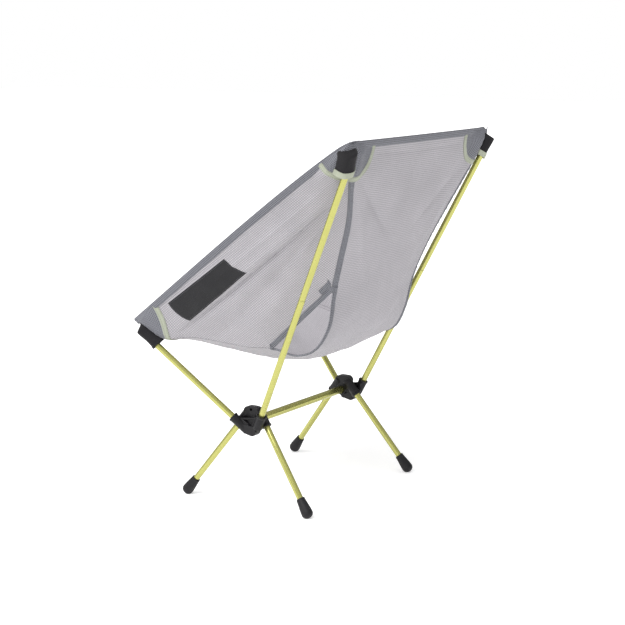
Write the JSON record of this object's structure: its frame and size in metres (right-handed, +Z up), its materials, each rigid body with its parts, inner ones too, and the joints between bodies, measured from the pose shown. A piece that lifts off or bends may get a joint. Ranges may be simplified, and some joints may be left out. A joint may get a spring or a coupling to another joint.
{
  "type": "ultralight backpacking chair",
  "caption": "Low knock-down camping chair: yellow-green alloy poles in two moulded hubs hold a grey ripstop sling seat with raised wings.",
  "frame": {"origin": "on the ground, in the middle of the chair's footprint box", "axes": "+X to the sitter's left, -Y to the front, +Z up"},
  "size_m": [0.4894, 0.4587, 0.6437],
  "materials": {
    "anodised_tube": "satin lime-yellow anodising",
    "bare_alloy": "plain drawn tube",
    "hub_nylon": "moulded glass-filled nylon",
    "foot_rubber": "moulded rubber",
    "ripstop_light": "light warm grey ripstop polyester",
    "ripstop_dark": "dark grey ripstop",
    "pale_tape": "pale green-beige woven tape",
    "pocket_black": "coated black cloth",
    "label_patch": "charcoal woven label, blank",
    "shock_cord": "braided elastic cord"
  },
  "bodies": {
    "root": {"crossbar": "anodised_tube", "hub_left": "hub_nylon", "front_pole_left": "anodised_tube", "back_pole_lower_left": "anodised_tube", "back_pole_upper_left": "anodised_tube", "pole_ferrule_left": "bare_alloy", "tip_cap_front_left": "hub_nylon", "tip_cap_back_left": "hub_nylon", "leg_cord_left": "shock_cord", "pole_cord_left": "shock_cord", "hub_right": "hub_nylon", "front_pole_right": "anodised_tube", "back_pole_lower_right": "anodised_tube", "back_pole_upper_right": "anodised_tube", "pole_ferrule_right": "bare_alloy", "tip_cap_front_right": "hub_nylon", "tip_cap_back_right": "hub_nylon", "leg_cord_right": "shock_cord", "pole_cord_right": "shock_cord"},
    "leg_front_left": {"leg_front_left": "anodised_tube", "foot_front_left": "foot_rubber"},
    "leg_rear_left": {"leg_rear_left": "anodised_tube", "foot_rear_left": "foot_rubber"},
    "leg_front_right": {"leg_front_right": "anodised_tube", "foot_front_right": "foot_rubber"},
    "leg_rear_right": {"leg_rear_right": "anodised_tube", "foot_rear_right": "foot_rubber"},
    "seat": {"seat_center_panel": "ripstop_light", "top_binding": "ripstop_dark", "front_binding": "ripstop_dark", "side_label": "label_patch", "side_panel_left": "ripstop_light", "side_binding_left": "ripstop_dark", "seam_tape_left": "ripstop_dark", "hip_binding_left": "ripstop_dark", "hip_tab_left": "ripstop_dark", "corner_patch_back_left": "ripstop_dark", "corner_trim_back_left": "pale_tape", "pocket_back_left": "pocket_black", "pocket_mouth_back_left": "pale_tape", "corner_patch_front_left": "ripstop_dark", "corner_trim_front_left": "pale_tape", "pocket_front_left": "pocket_black", "pocket_mouth_front_left": "pocket_black", "side_panel_right": "ripstop_light", "side_binding_right": "ripstop_dark", "seam_tape_right": "ripstop_dark", "hip_binding_right": "ripstop_dark", "hip_tab_right": "ripstop_dark", "corner_patch_back_right": "ripstop_dark", "corner_trim_back_right": "pale_tape", "pocket_back_right": "pocket_black", "pocket_mouth_back_right": "pale_tape", "corner_patch_front_right": "ripstop_dark", "corner_trim_front_right": "pale_tape", "pocket_front_right": "pocket_black", "pocket_mouth_front_right": "pocket_black"}
  },
  "joints": [
    {"name": "leg_front_left_pull", "type": "slide", "parent": "root", "child": "leg_front_left", "axis": [0.1157, -0.6052, -0.7876], "range_m": [0, 0.045], "stiffness_N_per_m": 120, "springref_m": -0.1, "deforming": ["leg_cord_left"]},
    {"name": "leg_rear_left_pull", "type": "slide", "parent": "root", "child": "leg_rear_left", "axis": [0.1335, 0.595, -0.7925], "range_m": [0, 0.045], "stiffness_N_per_m": 120, "springref_m": -0.1, "deforming": ["leg_cord_left"]},
    {"name": "leg_front_right_pull", "type": "slide", "parent": "root", "child": "leg_front_right", "axis": [-0.1157, -0.6052, -0.7876], "range_m": [0, 0.045], "stiffness_N_per_m": 120, "springref_m": -0.1, "deforming": ["leg_cord_right"]},
    {"name": "leg_rear_right_pull", "type": "slide", "parent": "root", "child": "leg_rear_right", "axis": [-0.1335, 0.595, -0.7925], "range_m": [0, 0.045], "stiffness_N_per_m": 120, "springref_m": -0.1, "deforming": ["leg_cord_right"]},
    {"name": "seat_lift", "type": "slide", "parent": "root", "child": "seat", "axis": [0, 0, 1], "range_m": [0, 0.12], "deforming": ["pocket_back_left", "pocket_mouth_back_left", "pocket_front_left", "pocket_mouth_front_left", "pocket_back_right", "pocket_mouth_back_right", "pocket_front_right", "pocket_mouth_front_right"]}
  ]
}
